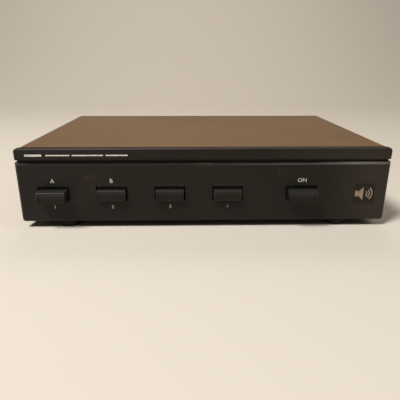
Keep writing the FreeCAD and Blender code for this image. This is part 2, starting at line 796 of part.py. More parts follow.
for thing in doc.Objects:
    if "Invalid" in thing.State or "Error" in thing.State:
        raise RuntimeError(f"{thing.Label} failed: {thing.State}")
os.makedirs("parts", exist_ok=True)
for name, thing in parts.items():
    if thing.Shape.isNull() or not thing.Shape.isValid():
        raise RuntimeError(f"{name} has no valid shape")
    thing.Shape.exportStep(f"parts/{name}.step")
print(len(parts), "sub-parts written")
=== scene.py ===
import math

import bmesh
import bpy
from mathutils import Matrix, Vector


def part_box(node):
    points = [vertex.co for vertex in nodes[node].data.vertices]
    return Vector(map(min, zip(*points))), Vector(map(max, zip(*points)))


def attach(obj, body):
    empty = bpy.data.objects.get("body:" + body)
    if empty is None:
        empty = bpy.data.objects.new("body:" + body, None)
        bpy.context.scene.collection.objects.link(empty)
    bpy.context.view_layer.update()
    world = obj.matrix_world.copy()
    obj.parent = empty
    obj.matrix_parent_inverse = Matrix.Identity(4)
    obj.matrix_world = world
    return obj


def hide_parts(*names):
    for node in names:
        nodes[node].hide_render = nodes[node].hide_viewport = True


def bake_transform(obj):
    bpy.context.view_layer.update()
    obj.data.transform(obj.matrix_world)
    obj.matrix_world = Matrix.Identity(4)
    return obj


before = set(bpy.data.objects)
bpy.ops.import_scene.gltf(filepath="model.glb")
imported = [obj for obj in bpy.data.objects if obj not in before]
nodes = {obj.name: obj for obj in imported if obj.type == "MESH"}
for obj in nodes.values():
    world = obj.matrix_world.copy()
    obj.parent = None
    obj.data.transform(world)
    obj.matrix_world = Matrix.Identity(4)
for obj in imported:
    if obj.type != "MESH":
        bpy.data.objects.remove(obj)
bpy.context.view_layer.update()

# Camera. The place, tilt and lens come from a pinhole camera fitted to the
# fascia's and the cover's corners in the photograph.
fascia_low, fascia_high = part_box("fascia")
fascia_front = fascia_low.y
camera_ahead = 0.2243
camera_above = 0.0910
camera_left = 0.0077
camera_turn = math.radians(-1.303)
camera_down = math.radians(19.17)
camera_roll = math.radians(0.107)
photo_width = 400
focal_pixels = 402.57

camera_data = bpy.data.cameras.new("camera")
camera_data.sensor_fit = "HORIZONTAL"
camera_data.sensor_width = 36
camera_data.lens = focal_pixels / photo_width * camera_data.sensor_width
camera_data.clip_start = 0.01
camera = bpy.data.objects.new("camera", camera_data)
bpy.context.scene.collection.objects.link(camera)
camera.matrix_world = (Matrix.Translation((-camera_left, fascia_front - camera_ahead, fascia_low.z + camera_above))
                       @ Matrix.Rotation(camera_turn, 4, "Z")
                       @ Matrix.Rotation(math.pi / 2 - camera_down, 4, "X")
                       @ Matrix.Rotation(camera_roll, 4, "Z"))
bpy.context.scene.camera = camera

# Studio. A pale floor that curves up into a backdrop behind, a lamp above at the
# left and weaker ones at the right and the back, with a faint even surround.
floor_reach = 4.0
wall_top = 1.3
curve_start = 0.55
curve_radius = 0.5
curve_steps = 12


def linked(name, data):
    thing = bpy.data.objects.new(name, data)
    bpy.context.scene.collection.objects.link(thing)
    return thing


def new_material(name):
    """An empty material with one Principled shader, and its node tree."""
    material = bpy.data.materials.new(name)
    material.use_nodes = True
    return material, material.node_tree, material.node_tree.nodes["Principled BSDF"]


sheet = bmesh.new()
section = [(-floor_reach, 0), (curve_start, 0)]
for step in range(1, curve_steps + 1):
    angle = math.pi / 2 * step / curve_steps
    section.append((curve_start + curve_radius * math.sin(angle), curve_radius * (1 - math.cos(angle))))
section.append((curve_start + curve_radius, wall_top))
rows = [[sheet.verts.new((side * floor_reach, y, z)) for side in (-1, 1)] for y, z in section]
for near_row, far_row in zip(rows, rows[1:]):
    sheet.faces.new((near_row[0], near_row[1], far_row[1], far_row[0])).smooth = True
floor_mesh = bpy.data.meshes.new("floor")
sheet.to_mesh(floor_mesh)
sheet.free()
floor = linked("floor", floor_mesh)
floor_paper, _, shader = new_material("pale_paper")
shader.inputs["Base Color"].default_value = (0.66, 0.60, 0.52, 1)
shader.inputs["Roughness"].default_value = 0.9
floor.data.materials.append(floor_paper)


def lamp(name, place, target, width, height, power, colour):
    light = bpy.data.lights.new(name, "AREA")
    light.shape = "RECTANGLE"
    light.size = width
    light.size_y = height
    light.energy = power
    light.color = colour
    thing = linked(name, light)
    thing.location = place
    thing.rotation_euler = (Vector(target) - Vector(place)).to_track_quat("-Z", "Y").to_euler()


lamp("lamp_left", (-0.50, -0.50, 1.05), (0, 0, 0), 0.32, 0.32, 17.0, (1.0, 0.98, 0.95))
lamp("lamp_right", (0.85, -0.45, 0.75), (0, 0, 0), 0.5, 0.6, 2.6, (1.0, 0.94, 0.86))
lamp("lamp_back", (0.1, 0.75, 0.9), (0, 0.1, 0), 0.9, 0.4, 2.4, (1.0, 0.93, 0.84))
world = bpy.data.worlds.new("surround")
world.use_nodes = True
world.node_tree.nodes["Background"].inputs["Color"].default_value = (1.0, 0.95, 0.88, 1)
world.node_tree.nodes["Background"].inputs["Strength"].default_value = 0.06
bpy.context.scene.world = world
bpy.context.scene.view_settings.view_transform = "Standard"

# Chassis. Thin sheet steel folded into a pan with a front and a rear wall, painted
# flat black before it is put together. Everything else is fixed to it.


def add(tree, kind, settings=None, **inputs):
    """A node with its settings and inputs: a socket is linked, anything else is a value."""
    made = tree.nodes.new(kind)
    for label, value in (settings or {}).items():
        setattr(made, label, value)
    for label, given in inputs.items():
        feed(tree, made.inputs[label.replace("_", " ")], given)
    return made


def feed(tree, socket, given):
    if isinstance(given, bpy.types.NodeSocket):
        tree.links.new(given, socket)
    else:
        socket.default_value = given


def tree_with_ends(kind, name, inputs, outputs):
    """An empty node group with named sockets, and its input and output nodes."""
    group = bpy.data.node_groups.new(name, kind)
    for label, socket_kind, value in inputs:
        socket = group.interface.new_socket(label, in_out="INPUT", socket_type="NodeSocket" + socket_kind)
        if value is not None:
            socket.default_value = value
    for label, socket_kind in outputs:
        group.interface.new_socket(label, in_out="OUTPUT", socket_type="NodeSocket" + socket_kind)
    return group, group.nodes.new("NodeGroupInput").outputs, group.nodes.new("NodeGroupOutput").inputs


def ranged(tree, value, low, high, to_low, to_high):
    """The value mapped from one range to another and held inside it."""
    return add(tree, "ShaderNodeMapRange", Value=value, From_Min=low, From_Max=high,
               To_Min=to_low, To_Max=to_high).outputs["Result"]


def maths(tree, kind, *values):
    made = add(tree, "ShaderNodeMath", {"operation": kind})
    for socket, given in zip(made.inputs, values):
        feed(tree, socket, given)
    return made.outputs["Value"]


def noise(tree, vector, scale, detail=3.0):
    return add(tree, "ShaderNodeTexNoise", Vector=vector, Scale=scale, Detail=detail).outputs["Fac"]


# The skin of moulded plastic or paint: fine grain, and a slow drift of gloss
grain_group, given, result = tree_with_ends(
    "ShaderNodeTree", "fine_grain",
    [("Vector", "Vector", None), ("Grain Scale", "Float", 4000.0), ("Drift Scale", "Float", 40.0),
     ("Gloss", "Float", 0.4), ("Spread", "Float", 0.1)],
    [("Height", "Float"), ("Roughness", "Float"), ("Drift", "Float")])
drift = noise(grain_group, given["Vector"], given["Drift Scale"], 4.0)
half_spread = maths(grain_group, "MULTIPLY", given["Spread"], 0.5)
grain_group.links.new(noise(grain_group, given["Vector"], given["Grain Scale"]), result["Height"])
low_gloss = maths(grain_group, "SUBTRACT", given["Gloss"], half_spread)
high_gloss = maths(grain_group, "ADD", given["Gloss"], half_spread)
grain_group.links.new(ranged(grain_group, drift, 0.3, 0.7, low_gloss, high_gloss), result["Roughness"])
grain_group.links.new(drift, result["Drift"])

# Dust that has settled: a thin film on what faces up, and scattered specks
dust_group, given, result = tree_with_ends(
    "ShaderNodeTree", "settled_dust",
    [("Vector", "Vector", None), ("Film", "Float", 0.1), ("Specks", "Float", 0.5), ("Speck Scale", "Float", 220.0)],
    [("Mask", "Float")])
facing = add(dust_group, "ShaderNodeSeparateXYZ",
             Vector=dust_group.nodes.new("ShaderNodeNewGeometry").outputs["Normal"]).outputs["Z"]
patches = noise(dust_group, given["Vector"], maths(dust_group, "MULTIPLY", given["Speck Scale"], 0.12), 5.0)
film = maths(dust_group, "MULTIPLY", ranged(dust_group, facing, 0.2, 0.95, 0.0, given["Film"]),
             ranged(dust_group, patches, 0.3, 0.75, 0.3, 1.0))
cells = add(dust_group, "ShaderNodeTexVoronoi", Vector=given["Vector"], Scale=given["Speck Scale"], Randomness=1.0)
near_centre = ranged(dust_group, cells.outputs["Distance"], 0.04, 0.09, given["Specks"], 0.0)
pick = add(dust_group, "ShaderNodeSeparateColor", Color=cells.outputs["Color"]).outputs["Red"]
speck = maths(dust_group, "MULTIPLY", near_centre, ranged(dust_group, pick, 0.86, 0.9, 0.0, 1.0))
dust_group.links.new(maths(dust_group, "MAXIMUM", film, speck), result["Mask"])


def mixed(tree, share, first, second):
    """The first colour going over to the second as the share rises."""
    made = add(tree, "ShaderNodeMix", {"data_type": "RGBA"}, Factor=share)
    for label, given in (("A", first), ("B", second)):
        socket = next(s for s in made.inputs if s.name == label and s.type == "RGBA")
        feed(tree, socket, given if isinstance(given, bpy.types.NodeSocket) else (*given, 1))
    return next(s for s in made.outputs if s.type == "RGBA")


def object_vector(tree):
    return tree.nodes.new("ShaderNodeTexCoord").outputs["Object"]


DUST_COLOUR = (0.20, 0.165, 0.125)


def skin(name, colour, second_colour, gloss, spread=0.1, grain_scale=4000.0, grain_depth=0.00003, drift_scale=40.0,
         film=0.05, specks=0.3, speck_scale=220.0, metal=0.0, coat=0.0, specular=0.5, marks=None, matt=None):
    """A moulded, painted or plated finish: drifting colour and gloss, grain and dust.
    Marks, where given, add this piece's own colours and its painted light and shade
    before the dust, and matt its dull places."""
    material, tree, shader = new_material(name)
    vector = object_vector(tree)
    grain = add(tree, "ShaderNodeGroup", {"node_tree": grain_group}, Vector=vector, Grain_Scale=grain_scale,
                Drift_Scale=drift_scale, Gloss=gloss, Spread=spread)
    dust = add(tree, "ShaderNodeGroup", {"node_tree": dust_group}, Vector=vector, Film=film, Specks=specks,
               Speck_Scale=speck_scale).outputs["Mask"]
    body = mixed(tree, ranged(tree, grain.outputs["Drift"], 0.35, 0.65, 0.0, 1.0), colour, second_colour)
    if marks:
        body = marks(tree, vector, body)
    feed(tree, shader.inputs["Base Color"], mixed(tree, dust, body, DUST_COLOUR))
    rough = maths(tree, "ADD", grain.outputs["Roughness"], maths(tree, "MULTIPLY", dust, 0.3))
    if matt:
        rough = maths(tree, "ADD", rough, matt(tree, vector))
    feed(tree, shader.inputs["Roughness"], rough)
    shader.inputs["Metallic"].default_value = metal
    shader.inputs["Coat Weight"].default_value = coat
    shader.inputs["Specular IOR Level"].default_value = specular
    relief = add(tree, "ShaderNodeBump", Height=grain.outputs["Height"], Distance=grain_depth, Strength=0.6)
    feed(tree, shader.inputs["Normal"], relief.outputs["Normal"])
    return material


def dress(material, *names):
    """CAD nodes keep their shape and take the material."""
    for name in names:
        nodes[name].data.materials.clear()
        nodes[name].data.materials.append(material)


chassis_paint = skin("chassis_paint", (0.017, 0.015, 0.013), (0.022, 0.019, 0.016), gloss=0.5,
                     grain_scale=2600.0, film=0.05, specks=0.25, specular=0.35)
dress(chassis_paint, "chassis")

# Rubber feet. Four plain discs of soft black rubber stuck under the floor of the
# chassis, dull and dusty at their rims.
foot_rubber = skin("foot_rubber", (0.010, 0.010, 0.010), (0.017, 0.016, 0.015), gloss=0.8, grain_scale=1800.0,
                   grain_depth=0.00006, film=0.1, specks=0.4, speck_scale=500.0, specular=0.3)
dress(foot_rubber, "foot_front_left", "foot_front_right", "foot_rear_left", "foot_rear_right")

# Circuit board. Glass fibre under a green mask, on four nylon spacers. It carries
# four cement resistors, which limit the load, and the clips' tin plated contacts.


def copper_tracks(tree, vector, body):
    """Broad copper runs that show through the mask as a lighter, yellower green."""
    runs = add(tree, "ShaderNodeTexVoronoi", {"feature": "F1", "distance": "CHEBYCHEV"},
               Vector=vector, Scale=70.0, Randomness=0.35).outputs["Distance"]
    return mixed(tree, ranged(tree, runs, 0.34, 0.36, 1.0, 0.0), body, (0.055, 0.19, 0.06))


board_green = skin("board_green", (0.012, 0.075, 0.03), (0.018, 0.09, 0.036), gloss=0.3, grain_scale=900.0,
                   coat=0.3, film=0.03, specks=0.2, marks=copper_tracks)
dress(board_green, "circuit_board")
dress(skin("spacer_nylon", (0.66, 0.65, 0.60), (0.72, 0.71, 0.66), gloss=0.5, film=0.0, specks=0.0), "board_spacers")
dress(skin("cement", (0.62, 0.60, 0.54), (0.70, 0.68, 0.62), gloss=0.75, grain_scale=1500.0,
           grain_depth=0.00008, film=0.05, specks=0.2), "protection_resistors")
dress(skin("contact_tin", (0.55, 0.53, 0.48), (0.62, 0.60, 0.55), gloss=0.25, metal=1.0, film=0.0, specks=0.0),
      "terminal_contacts")

# Screws. Pan heads with a cross recess on threaded shanks: zinc plated where they
# hold the board and the fascia, blackened where they hold the cover's sides.
screw_head_radius = 0.0026
screw_head_height = 0.0016
recess_length = 0.0026
recess_width = 0.0006
recess_depth = 0.0009
shank_radius = 0.00098
thread_wire = 0.0002
thread_pitch = 0.0008


def sized(tree, x, y, z):
    return add(tree, "ShaderNodeCombineXYZ", X=x, Y=y, Z=z).outputs["Vector"]


def shifted(tree, mesh, z=0.0, scale=(1, 1, 1)):
    """The mesh scaled, then moved up by z."""
    return add(tree, "GeometryNodeTransform", Geometry=mesh, Translation=sized(tree, 0.0, 0.0, z),
               Scale=scale).outputs["Geometry"]


def block(tree, x, y, z):
    return add(tree, "GeometryNodeMeshCube", Size=sized(tree, x, y, z)).outputs["Mesh"]


def joined(tree, *meshes):
    made = tree.nodes.new("GeometryNodeJoinGeometry")
    for mesh in reversed(meshes):
        tree.links.new(mesh, made.inputs["Geometry"])
    return made.outputs["Geometry"]


def cut_with(tree, kind, first, *others):
    made = add(tree, "GeometryNodeMeshBoolean", {"operation": kind, "solver": "EXACT"})
    if kind == "DIFFERENCE":
        tree.links.new(first, made.inputs["Mesh 1"])
    for mesh in others if kind == "DIFFERENCE" else (first, *others):
        tree.links.new(mesh, made.inputs["Mesh 2"])
    return made.outputs["Mesh"]


screw_tree, given, result = tree_with_ends(
    "GeometryNodeTree", "pan_screws",
    [("Geometry", "Geometry", None), ("Head Radius", "Float", screw_head_radius),
     ("Head Height", "Float", screw_head_height), ("Recess Length", "Float", recess_length),
     ("Recess Width", "Float", recess_width), ("Recess Depth", "Float", recess_depth),
     ("Shank Radius", "Float", shank_radius), ("Shank Length", "Float", 0.0045),
     ("Thread Wire", "Float", thread_wire), ("Thread Pitch", "Float", thread_pitch), ("Finish", "Material", None)],
    [("Geometry", "Geometry")])
ball = add(screw_tree, "GeometryNodeMeshUVSphere", Segments=28, Rings=16, Radius=1.0).outputs["Mesh"]
dome_scale = sized(screw_tree, given["Head Radius"], given["Head Radius"],
                   maths(screw_tree, "MULTIPLY", given["Head Height"], 1.3))
wide = maths(screw_tree, "MULTIPLY", given["Head Radius"], 3.0)
half_height = maths(screw_tree, "MULTIPLY", given["Head Height"], 0.5)
slab = shifted(screw_tree, block(screw_tree, wide, wide, given["Head Height"]), half_height)
head = cut_with(screw_tree, "INTERSECT", shifted(screw_tree, ball, 0.0, dome_scale), slab)
deep = maths(screw_tree, "MULTIPLY", given["Recess Depth"], 2.0)
for across_x, across_y in (("Recess Length", "Recess Width"), ("Recess Width", "Recess Length")):
    bar_shape = block(screw_tree, given[across_x], given[across_y], deep)
    head = cut_with(screw_tree, "DIFFERENCE", head, shifted(screw_tree, bar_shape, given["Head Height"]))
down = maths(screw_tree, "MULTIPLY", given["Shank Length"], -1.0)
shank = add(screw_tree, "GeometryNodeMeshCone", Vertices=14, Radius_Top=given["Shank Radius"],
            Radius_Bottom=given["Shank Radius"], Depth=given["Shank Length"]).outputs["Mesh"]
thread = add(screw_tree, "GeometryNodeCurveSpiral", Resolution=14,
             Rotations=maths(screw_tree, "DIVIDE", given["Shank Length"], given["Thread Pitch"]),
             Start_Radius=given["Shank Radius"], End_Radius=given["Shank Radius"],
             Height=given["Shank Length"]).outputs["Curve"]
wire = add(screw_tree, "GeometryNodeCurvePrimitiveCircle", Resolution=5, Radius=given["Thread Wire"]).outputs["Curve"]
thread = add(screw_tree, "GeometryNodeCurveToMesh", Curve=thread, Profile_Curve=wire, Fill_Caps=True).outputs["Mesh"]
whole = joined(screw_tree, head, shifted(screw_tree, joined(screw_tree, shank, thread), down))
aim = add(screw_tree, "GeometryNodeInputNamedAttribute", {"data_type": "FLOAT_VECTOR"}, Name="aim")
turn = add(screw_tree, "FunctionNodeAlignRotationToVector", {"axis": "Z"},
           Vector=aim.outputs["Attribute"]).outputs["Rotation"]
set_out = add(screw_tree, "GeometryNodeInstanceOnPoints", Points=given["Geometry"], Instance=whole,
              Rotation=turn).outputs["Instances"]
solid = add(screw_tree, "GeometryNodeRealizeInstances", Geometry=set_out).outputs["Geometry"]
solid = add(screw_tree, "GeometryNodeSetMaterial", Geometry=solid, Material=given["Finish"]).outputs["Geometry"]
screw_tree.links.new(solid, result["Geometry"])


def grown(name, tree, start_mesh, **values):
    """The plain mesh that a geometry tree makes of the start mesh and the given sizes."""
    holder = linked(name + "_holder", start_mesh)
    modifier = holder.modifiers.new("tree", "NODES")
    modifier.node_group = tree
    for item in tree.interface.items_tree:
        key = item.name.replace(" ", "_")
        if item.in_out == "INPUT" and key in values:
            modifier[item.identifier] = values[key]
    bpy.context.view_layer.update()
    mesh = bpy.data.meshes.new_from_object(holder.evaluated_get(bpy.context.evaluated_depsgraph_get()))
    mesh.name = name
    holder.modifiers.remove(modifier)
    bpy.data.objects.remove(holder)
    return mesh


def kept_with(thing, body, slot, *stands_for):
    """The piece moves with the body and stands for these CAD nodes."""
    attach(thing, body)
    if stands_for:
        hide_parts(*stands_for)
    return thing


def solid_corners(node):
    """The low and high corner of each solid of a CAD node, by walking its joined triangles."""
    copy = bmesh.new()
    copy.from_mesh(nodes[node].data)
    bmesh.ops.remove_doubles(copy, verts=copy.verts, dist=0.000002)
    left = set(copy.verts)
    corners = []
    for start in copy.verts:
        if start not in left:
            continue
        left.remove(start)
        reached = [start]
        for corner in reached:
            for edge in corner.link_edges:
                other = edge.other_vert(corner)
                if other in left:
                    left.remove(other)
                    reached.append(other)
        low = [min(corner.co[axis] for corner in reached) for axis in range(3)]
        high = [max(corner.co[axis] for corner in reached) for axis in range(3)]
        corners.append((Vector(low), Vector(high)))
    copy.free()
    return corners


def put_screws(node, finish, slot, direction_of):
    """Screws in place of a CAD node's plain ones, seated under their heads."""
    seats = []
    for low, high in solid_corners(node):
        aim = Vector(direction_of((low + high) / 2))
        length = abs((high - low).dot(aim)) - screw_head_height
        tip = Vector([high[k] if aim[k] > 0 else low[k] if aim[k] < 0 else (low[k] + high[k]) / 2
                      for k in range(3)])
        seats.append((tip - aim * screw_head_height, aim, length))
    points = bpy.data.meshes.new(node + "_seats")
    points.from_pydata([tuple(seat) for seat, aim, length in seats], [], [])
    points.attributes.new("aim", "FLOAT_VECTOR", "POINT").data.foreach_set(
        "vector", [part for seat, aim, length in seats for part in aim])
    mesh = grown(node + "_shape", screw_tree, points, Shank_Length=seats[0][2], Finish=finish)
    kept_with(linked(node + "_shape", mesh), "case", slot, node)


screw_zinc = skin("screw_zinc", (0.50, 0.49, 0.45), (0.58, 0.57, 0.52), gloss=0.3, metal=1.0, drift_scale=400.0,
                  film=0.0, specks=0.0)
screw_black = skin("screw_black", (0.02, 0.02, 0.02), (0.03, 0.03, 0.03), gloss=0.35, metal=0.6,
                   drift_scale=400.0, film=0.05, specks=0.2)
put_screws("board_screws", screw_zinc, "screw_zinc", lambda middle: (0, 0, 1))
put_screws("fascia_screws", screw_zinc, "screw_zinc", lambda middle: (0, 1, 0))
put_screws("cover_screws", screw_black, "screw_black", lambda middle: (math.copysign(1, middle.x), 0, 0))

# Push switches. A black body on the board, an off white plunger, and between them a
# coil of drawn steel wire, which shortens as the button goes in; here it is a fixed
# mesh, as long as the part it replaces.
switch_plastic = skin("switch_plastic", (0.02, 0.02, 0.022), (0.028, 0.028, 0.03), gloss=0.5, film=0.02, specks=0.1)
plunger_plastic = skin("plunger_plastic", (0.62, 0.60, 0.54), (0.68, 0.66, 0.60), gloss=0.45, film=0.0, specks=0.0)
spring_steel = skin("spring_steel", (0.42, 0.42, 0.43), (0.5, 0.5, 0.5), gloss=0.3, metal=1.0, film=0.0, specks=0.0)
spring_wire = 0.00025
spring_turns = 6
BUTTONS = range(1, 6)

coil_tree, given, result = tree_with_ends(
    "GeometryNodeTree", "coil_spring",
    [("Geometry", "Geometry", None), ("Turns", "Float", 6.0), ("Coil Radius", "Float", 0.0029),
     ("Wire Radius", "Float", spring_wire), ("Length", "Float", 0.005), ("Finish", "Material", None)],
    [("Geometry", "Geometry")])
free = maths(coil_tree, "SUBTRACT", given["Length"], maths(coil_tree, "MULTIPLY", given["Wire Radius"], 2.0))
coil = add(coil_tree, "GeometryNodeCurveSpiral", Resolution=20, Rotations=given["Turns"],
           Start_Radius=given["Coil Radius"], End_Radius=given["Coil Radius"], Height=free).outputs["Curve"]
wire = add(coil_tree, "GeometryNodeCurvePrimitiveCircle", Resolution=8, Radius=given["Wire Radius"]).outputs["Curve"]
coil = add(coil_tree, "GeometryNodeCurveToMesh", Curve=coil, Profile_Curve=wire, Fill_Caps=True).outputs["Mesh"]
coil = shifted(coil_tree, coil, given["Wire Radius"])
coil = add(coil_tree, "GeometryNodeSetMaterial", Geometry=coil, Material=given["Finish"]).outputs["Geometry"]
coil_tree.links.new(coil, result["Geometry"])

for number in BUTTONS:
    dress(switch_plastic, f"switch_body_{number}")
    dress(plunger_plastic, f"plunger_{number}")
    low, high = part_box(f"return_spring_{number}")
    mesh = grown(f"coil_{number}", coil_tree, bpy.data.meshes.new("start"), Turns=spring_turns,
                 Coil_Radius=(high.x - low.x) / 2 - spring_wire, Wire_Radius=spring_wire, Length=high.y - low.y,
                 Finish=spring_steel)
    middle = (low + high) / 2
    mesh.transform(Matrix.Translation((middle.x, high.y, middle.z)) @ Matrix.Rotation(math.pi / 2, 4, "X"))
    coil = linked(f"coil_{number}", mesh)
    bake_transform(coil)
    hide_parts(f"return_spring_{number}")

# Terminals. Five moulded black blocks through the rear panel, each with four levers,
# red and black by turns, that hold a bare wire against its contact.
terminal_plastic = skin("terminal_plastic", (0.014, 0.014, 0.014), (0.019, 0.019, 0.018), gloss=0.35,
                        grain_scale=3500.0, film=0.08, specks=0.3, specular=0.4)
lever_red = skin("lever_red", (0.40, 0.016, 0.010), (0.46, 0.022, 0.014), gloss=0.28, film=0.05, specks=0.2,
                 grain_depth=0.00001)
lever_black = skin("lever_black", (0.014, 0.014, 0.014), (0.019, 0.019, 0.018), gloss=0.28, film=0.05, specks=0.2,
                   grain_depth=0.00001, specular=0.4)
BLOCKS = range(1, 6)
LEVERS = range(1, 21)
for number in BLOCKS:
    dress(terminal_plastic, f"terminal_housing_{number}")
for number in LEVERS:
    dress(lever_red if number % 2 else lever_black, f"lever_{number}")

# Fascia. One moulding of black plastic with a satin skin, held by four screws from
# behind. Handling has rubbed its lip and a few places on its face. Its lighter ends
# are painted reflection, the light lines along its lip and groove painted highlights,
# and the dark strips behind the lip and on the slope under the groove painted shade.


def vector_maths(tree, kind, *values):
    made = add(tree, "ShaderNodeVectorMath", {"operation": kind})
    for socket, given in zip(made.inputs, values):
        feed(tree, socket, given)
    return made.outputs


def place_group(name, extra, extra_value):
    """A group that masks one place, its ends, and where a point lies from the place's
    middle, in halves of its size."""
    group, given, result = tree_with_ends(
        "ShaderNodeTree", name,
        [("Vector", "Vector", None), ("Middle", "Vector", None), ("Half", "Vector", None),
         (extra, "Float", extra_value), ("Strength", "Float", 0.5)],
        [("Mask", "Float")])
    offset = vector_maths(group, "SUBTRACT", given["Vector"], given["Middle"])["Vector"]
    return group, given, result, vector_maths(group, "DIVIDE", offset, given["Half"])["Vector"]


# A soft ellipse broken up into streaks, for rubbed places and for painted highlights and
# reflections
rub_and_light_group, given, result, share = place_group("rubbed_place", "Streaks", 600.0)
reach = vector_maths(rub_and_light_group, "LENGTH", share)["Value"]
soft = ranged(rub_and_light_group, reach, 0.35, 1.0, given["Strength"], 0.0)
streaks = ranged(rub_and_light_group, noise(rub_and_light_group, given["Vector"], given["Streaks"], 5.0), 0.36, 0.62, 0.0, 1.0)
rub_and_light_group.links.new(maths(rub_and_light_group, "MULTIPLY", soft, streaks), result["Mask"])

# A soft edged box over a flat place, for painted highlights, reflections and shade, and
# for places kept dull
patch_group, given, result, share = place_group("boxed_place", "Softness", 0.1)
apart = vector_maths(patch_group, "ABSOLUTE", share)["Vector"]
each = add(patch_group, "ShaderNodeSeparateXYZ", Vector=apart).outputs
furthest = maths(patch_group, "MAXIMUM", maths(patch_group, "MAXIMUM", each["X"], each["Y"]), each["Z"])
inside = maths(patch_group, "SUBTRACT", 1.0, given["Softness"])
patch_group.links.new(ranged(patch_group, furthest, inside, 1.0, given["Strength"], 0.0), result["Mask"])

# Middle and half size of each place on the fascia, in millimetres from its lower left
# front corner. Boxes have a softness, rubs the scale of their streaks; then strength, colour
to_mm = 1000
mid_x = (fascia_high.x - fascia_low.x) / 2 * to_mm
all_x = mid_x + 2
# Painted reflection on the rounded left and right ends
PAINTED_LIGHT_BOXES = [((0.4, 0, 20.0), (0.9, 4, 24.0), 0.5, 0.8, (0.050, 0.050, 0.052)),
         ((215.5, 0, 20.0), (0.9, 4, 24.0), 0.5, 0.6, (0.055, 0.048, 0.042)),
         # Painted shade on the strip behind the lip, and a painted highlight along the lip's top front edge
         ((mid_x, 3.9, 43.9), (all_x, 1.6, 0.8), 0.15, 1.0, (0.003, 0.002, 0.001)),
         ((mid_x, 1.3, 44.0), (all_x, 1.1, 0.5), 0.4, 0.8, (0.050, 0.032, 0.017)),
         # Painted shade on the slope under the groove, and painted highlights along its lower edge and towards its
         # right end
         ((mid_x, 0.8, 35.1), (all_x, 1.5, 0.75), 0.1, 0.9, (0.003, 0.0022, 0.0014)),
         ((mid_x, 0.0, 34.35), (all_x, 0.5, 0.25), 0.5, 0.6, (0.034, 0.028, 0.022)),
         ((166.0, 0.2, 34.45), (50.0, 0.5, 0.35), 0.5, 0.8, (0.070, 0.064, 0.057)),
         ((203.0, 0.6, 35.0), (19.0, 1.6, 0.9), 0.6, 0.9, (0.115, 0.105, 0.095))]
RUBS_AND_PAINTED_LIGHT = [((41.5, 0, 27.2), (6.5, 3, 2.2), 600, 0.5, (0.060, 0.032, 0.020)),
          ((109.5, 1, 34.2), (6.5, 3, 1.7), 600, 0.75, (0.070, 0.042, 0.028)),
          ((151.6, 0, 29.6), (0.32, 3, 2.4), 300, 1.0, (0.12, 0.10, 0.080)),
          ((154.3, 0, 39.8), (0.28, 3, 1.9), 300, 0.9, (0.10, 0.085, 0.070)),
          ((42.0, 0, 20.0), (5.0, 3, 9.0), 260, 0.35, (0.040, 0.026, 0.018)),
          # Painted reflection over the left and right ends of the face
          ((2.0, 0, 20.0), (34.0, 3, 40.0), 12, 0.65, (0.0210, 0.0200, 0.0195)),
          ((214.0, 0, 18.0), (34.0, 3, 40.0), 12, 0.7, (0.036, 0.028, 0.020)),
          # Painted highlights along the slope under the groove
          ((140.0, 1, 34.9), (60.0, 3, 0.8), 60, 0.35, (0.060, 0.052, 0.044)),
          ((200.0, 1, 34.9), (34.0, 3, 1.1), 60, 0.9, (0.125, 0.115, 0.104)),
          # A broad lighter patch over the right half of the lip
          ((183.0, 0, 40.5), (44.0, 3, 5.0), 12, 0.5, (0.030, 0.026, 0.019))]
SHELTERED = [((mid_x, 3.9, 43.9), (all_x, 1.8, 0.8)), ((mid_x, 0.8, 35.1), (all_x, 1.5, 0.75))]
sheltered_matt = 0.42
# The same at every button, from its middle: painted light on the flared bevel over it,
# and a painted shadow under its cap
AT_BUTTONS = [((0, 0.85, 21.35), (8.9, 1.1, 1.3), 0.12, 1.0, (0.068, 0.069, 0.067)),
              ((0.9, 0, 11.9), (8.8, 1.2, 1.6), 0.6, 0.7, (0.0030, 0.0018, 0.0008))]


def on_fascia(place):
    return Vector((fascia_low.x, fascia_front, fascia_low.z)) + Vector(place) / to_mm


def across(node):
    low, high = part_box(node)
    return (low.x + high.x) / 2


def fascia_wear(tree, vector, body):
    """Rubs and scratches, then painted light: painted reflection and highlights on rounded
    ends and edges, painted shade on flat places, painted light on the flared bevel over
    each button opening and a painted shadow under its cap."""
    middles = [(across(f"button_{number}") - fascia_low.x) * to_mm for number in BUTTONS]
    boxes = PAINTED_LIGHT_BOXES + [((middle + place[0], *place[1:]), *rest) for middle in middles
                     for place, *rest in AT_BUTTONS]
    for group, places, extra in ((patch_group, boxes, "Softness"), (rub_and_light_group, RUBS_AND_PAINTED_LIGHT, "Streaks")):
        for middle, half, amount, strength, colour in places:
            mask = add(tree, "ShaderNodeGroup", {"node_tree": group}, Vector=vector, Middle=on_fascia(middle),
                       Half=Vector(half) / to_mm, Strength=strength, **{extra: amount})
            body = mixed(tree, mask.outputs["Mask"], body, colour)
    return body


def never_touched(tree, vector):
    """Hands never polish the slope under the groove or the strip behind the lip."""
    masks = [add(tree, "ShaderNodeGroup", {"node_tree": patch_group}, Vector=vector, Middle=on_fascia(middle),
                 Half=Vector(half) / to_mm, Strength=sheltered_matt).outputs["Mask"] for middle, half in SHELTERED]
    return maths(tree, "MAXIMUM", *masks)


fascia_plastic = skin("fascia_plastic", (0.0092, 0.0066, 0.0042), (0.0120, 0.0088, 0.0058), gloss=0.5,
                      spread=0.12, drift_scale=30.0, film=0.02, specks=0.5, speck_scale=260.0, specular=0.26,
                      marks=fascia_wear, matt=never_touched)
dress(fascia_plastic, "fascia")

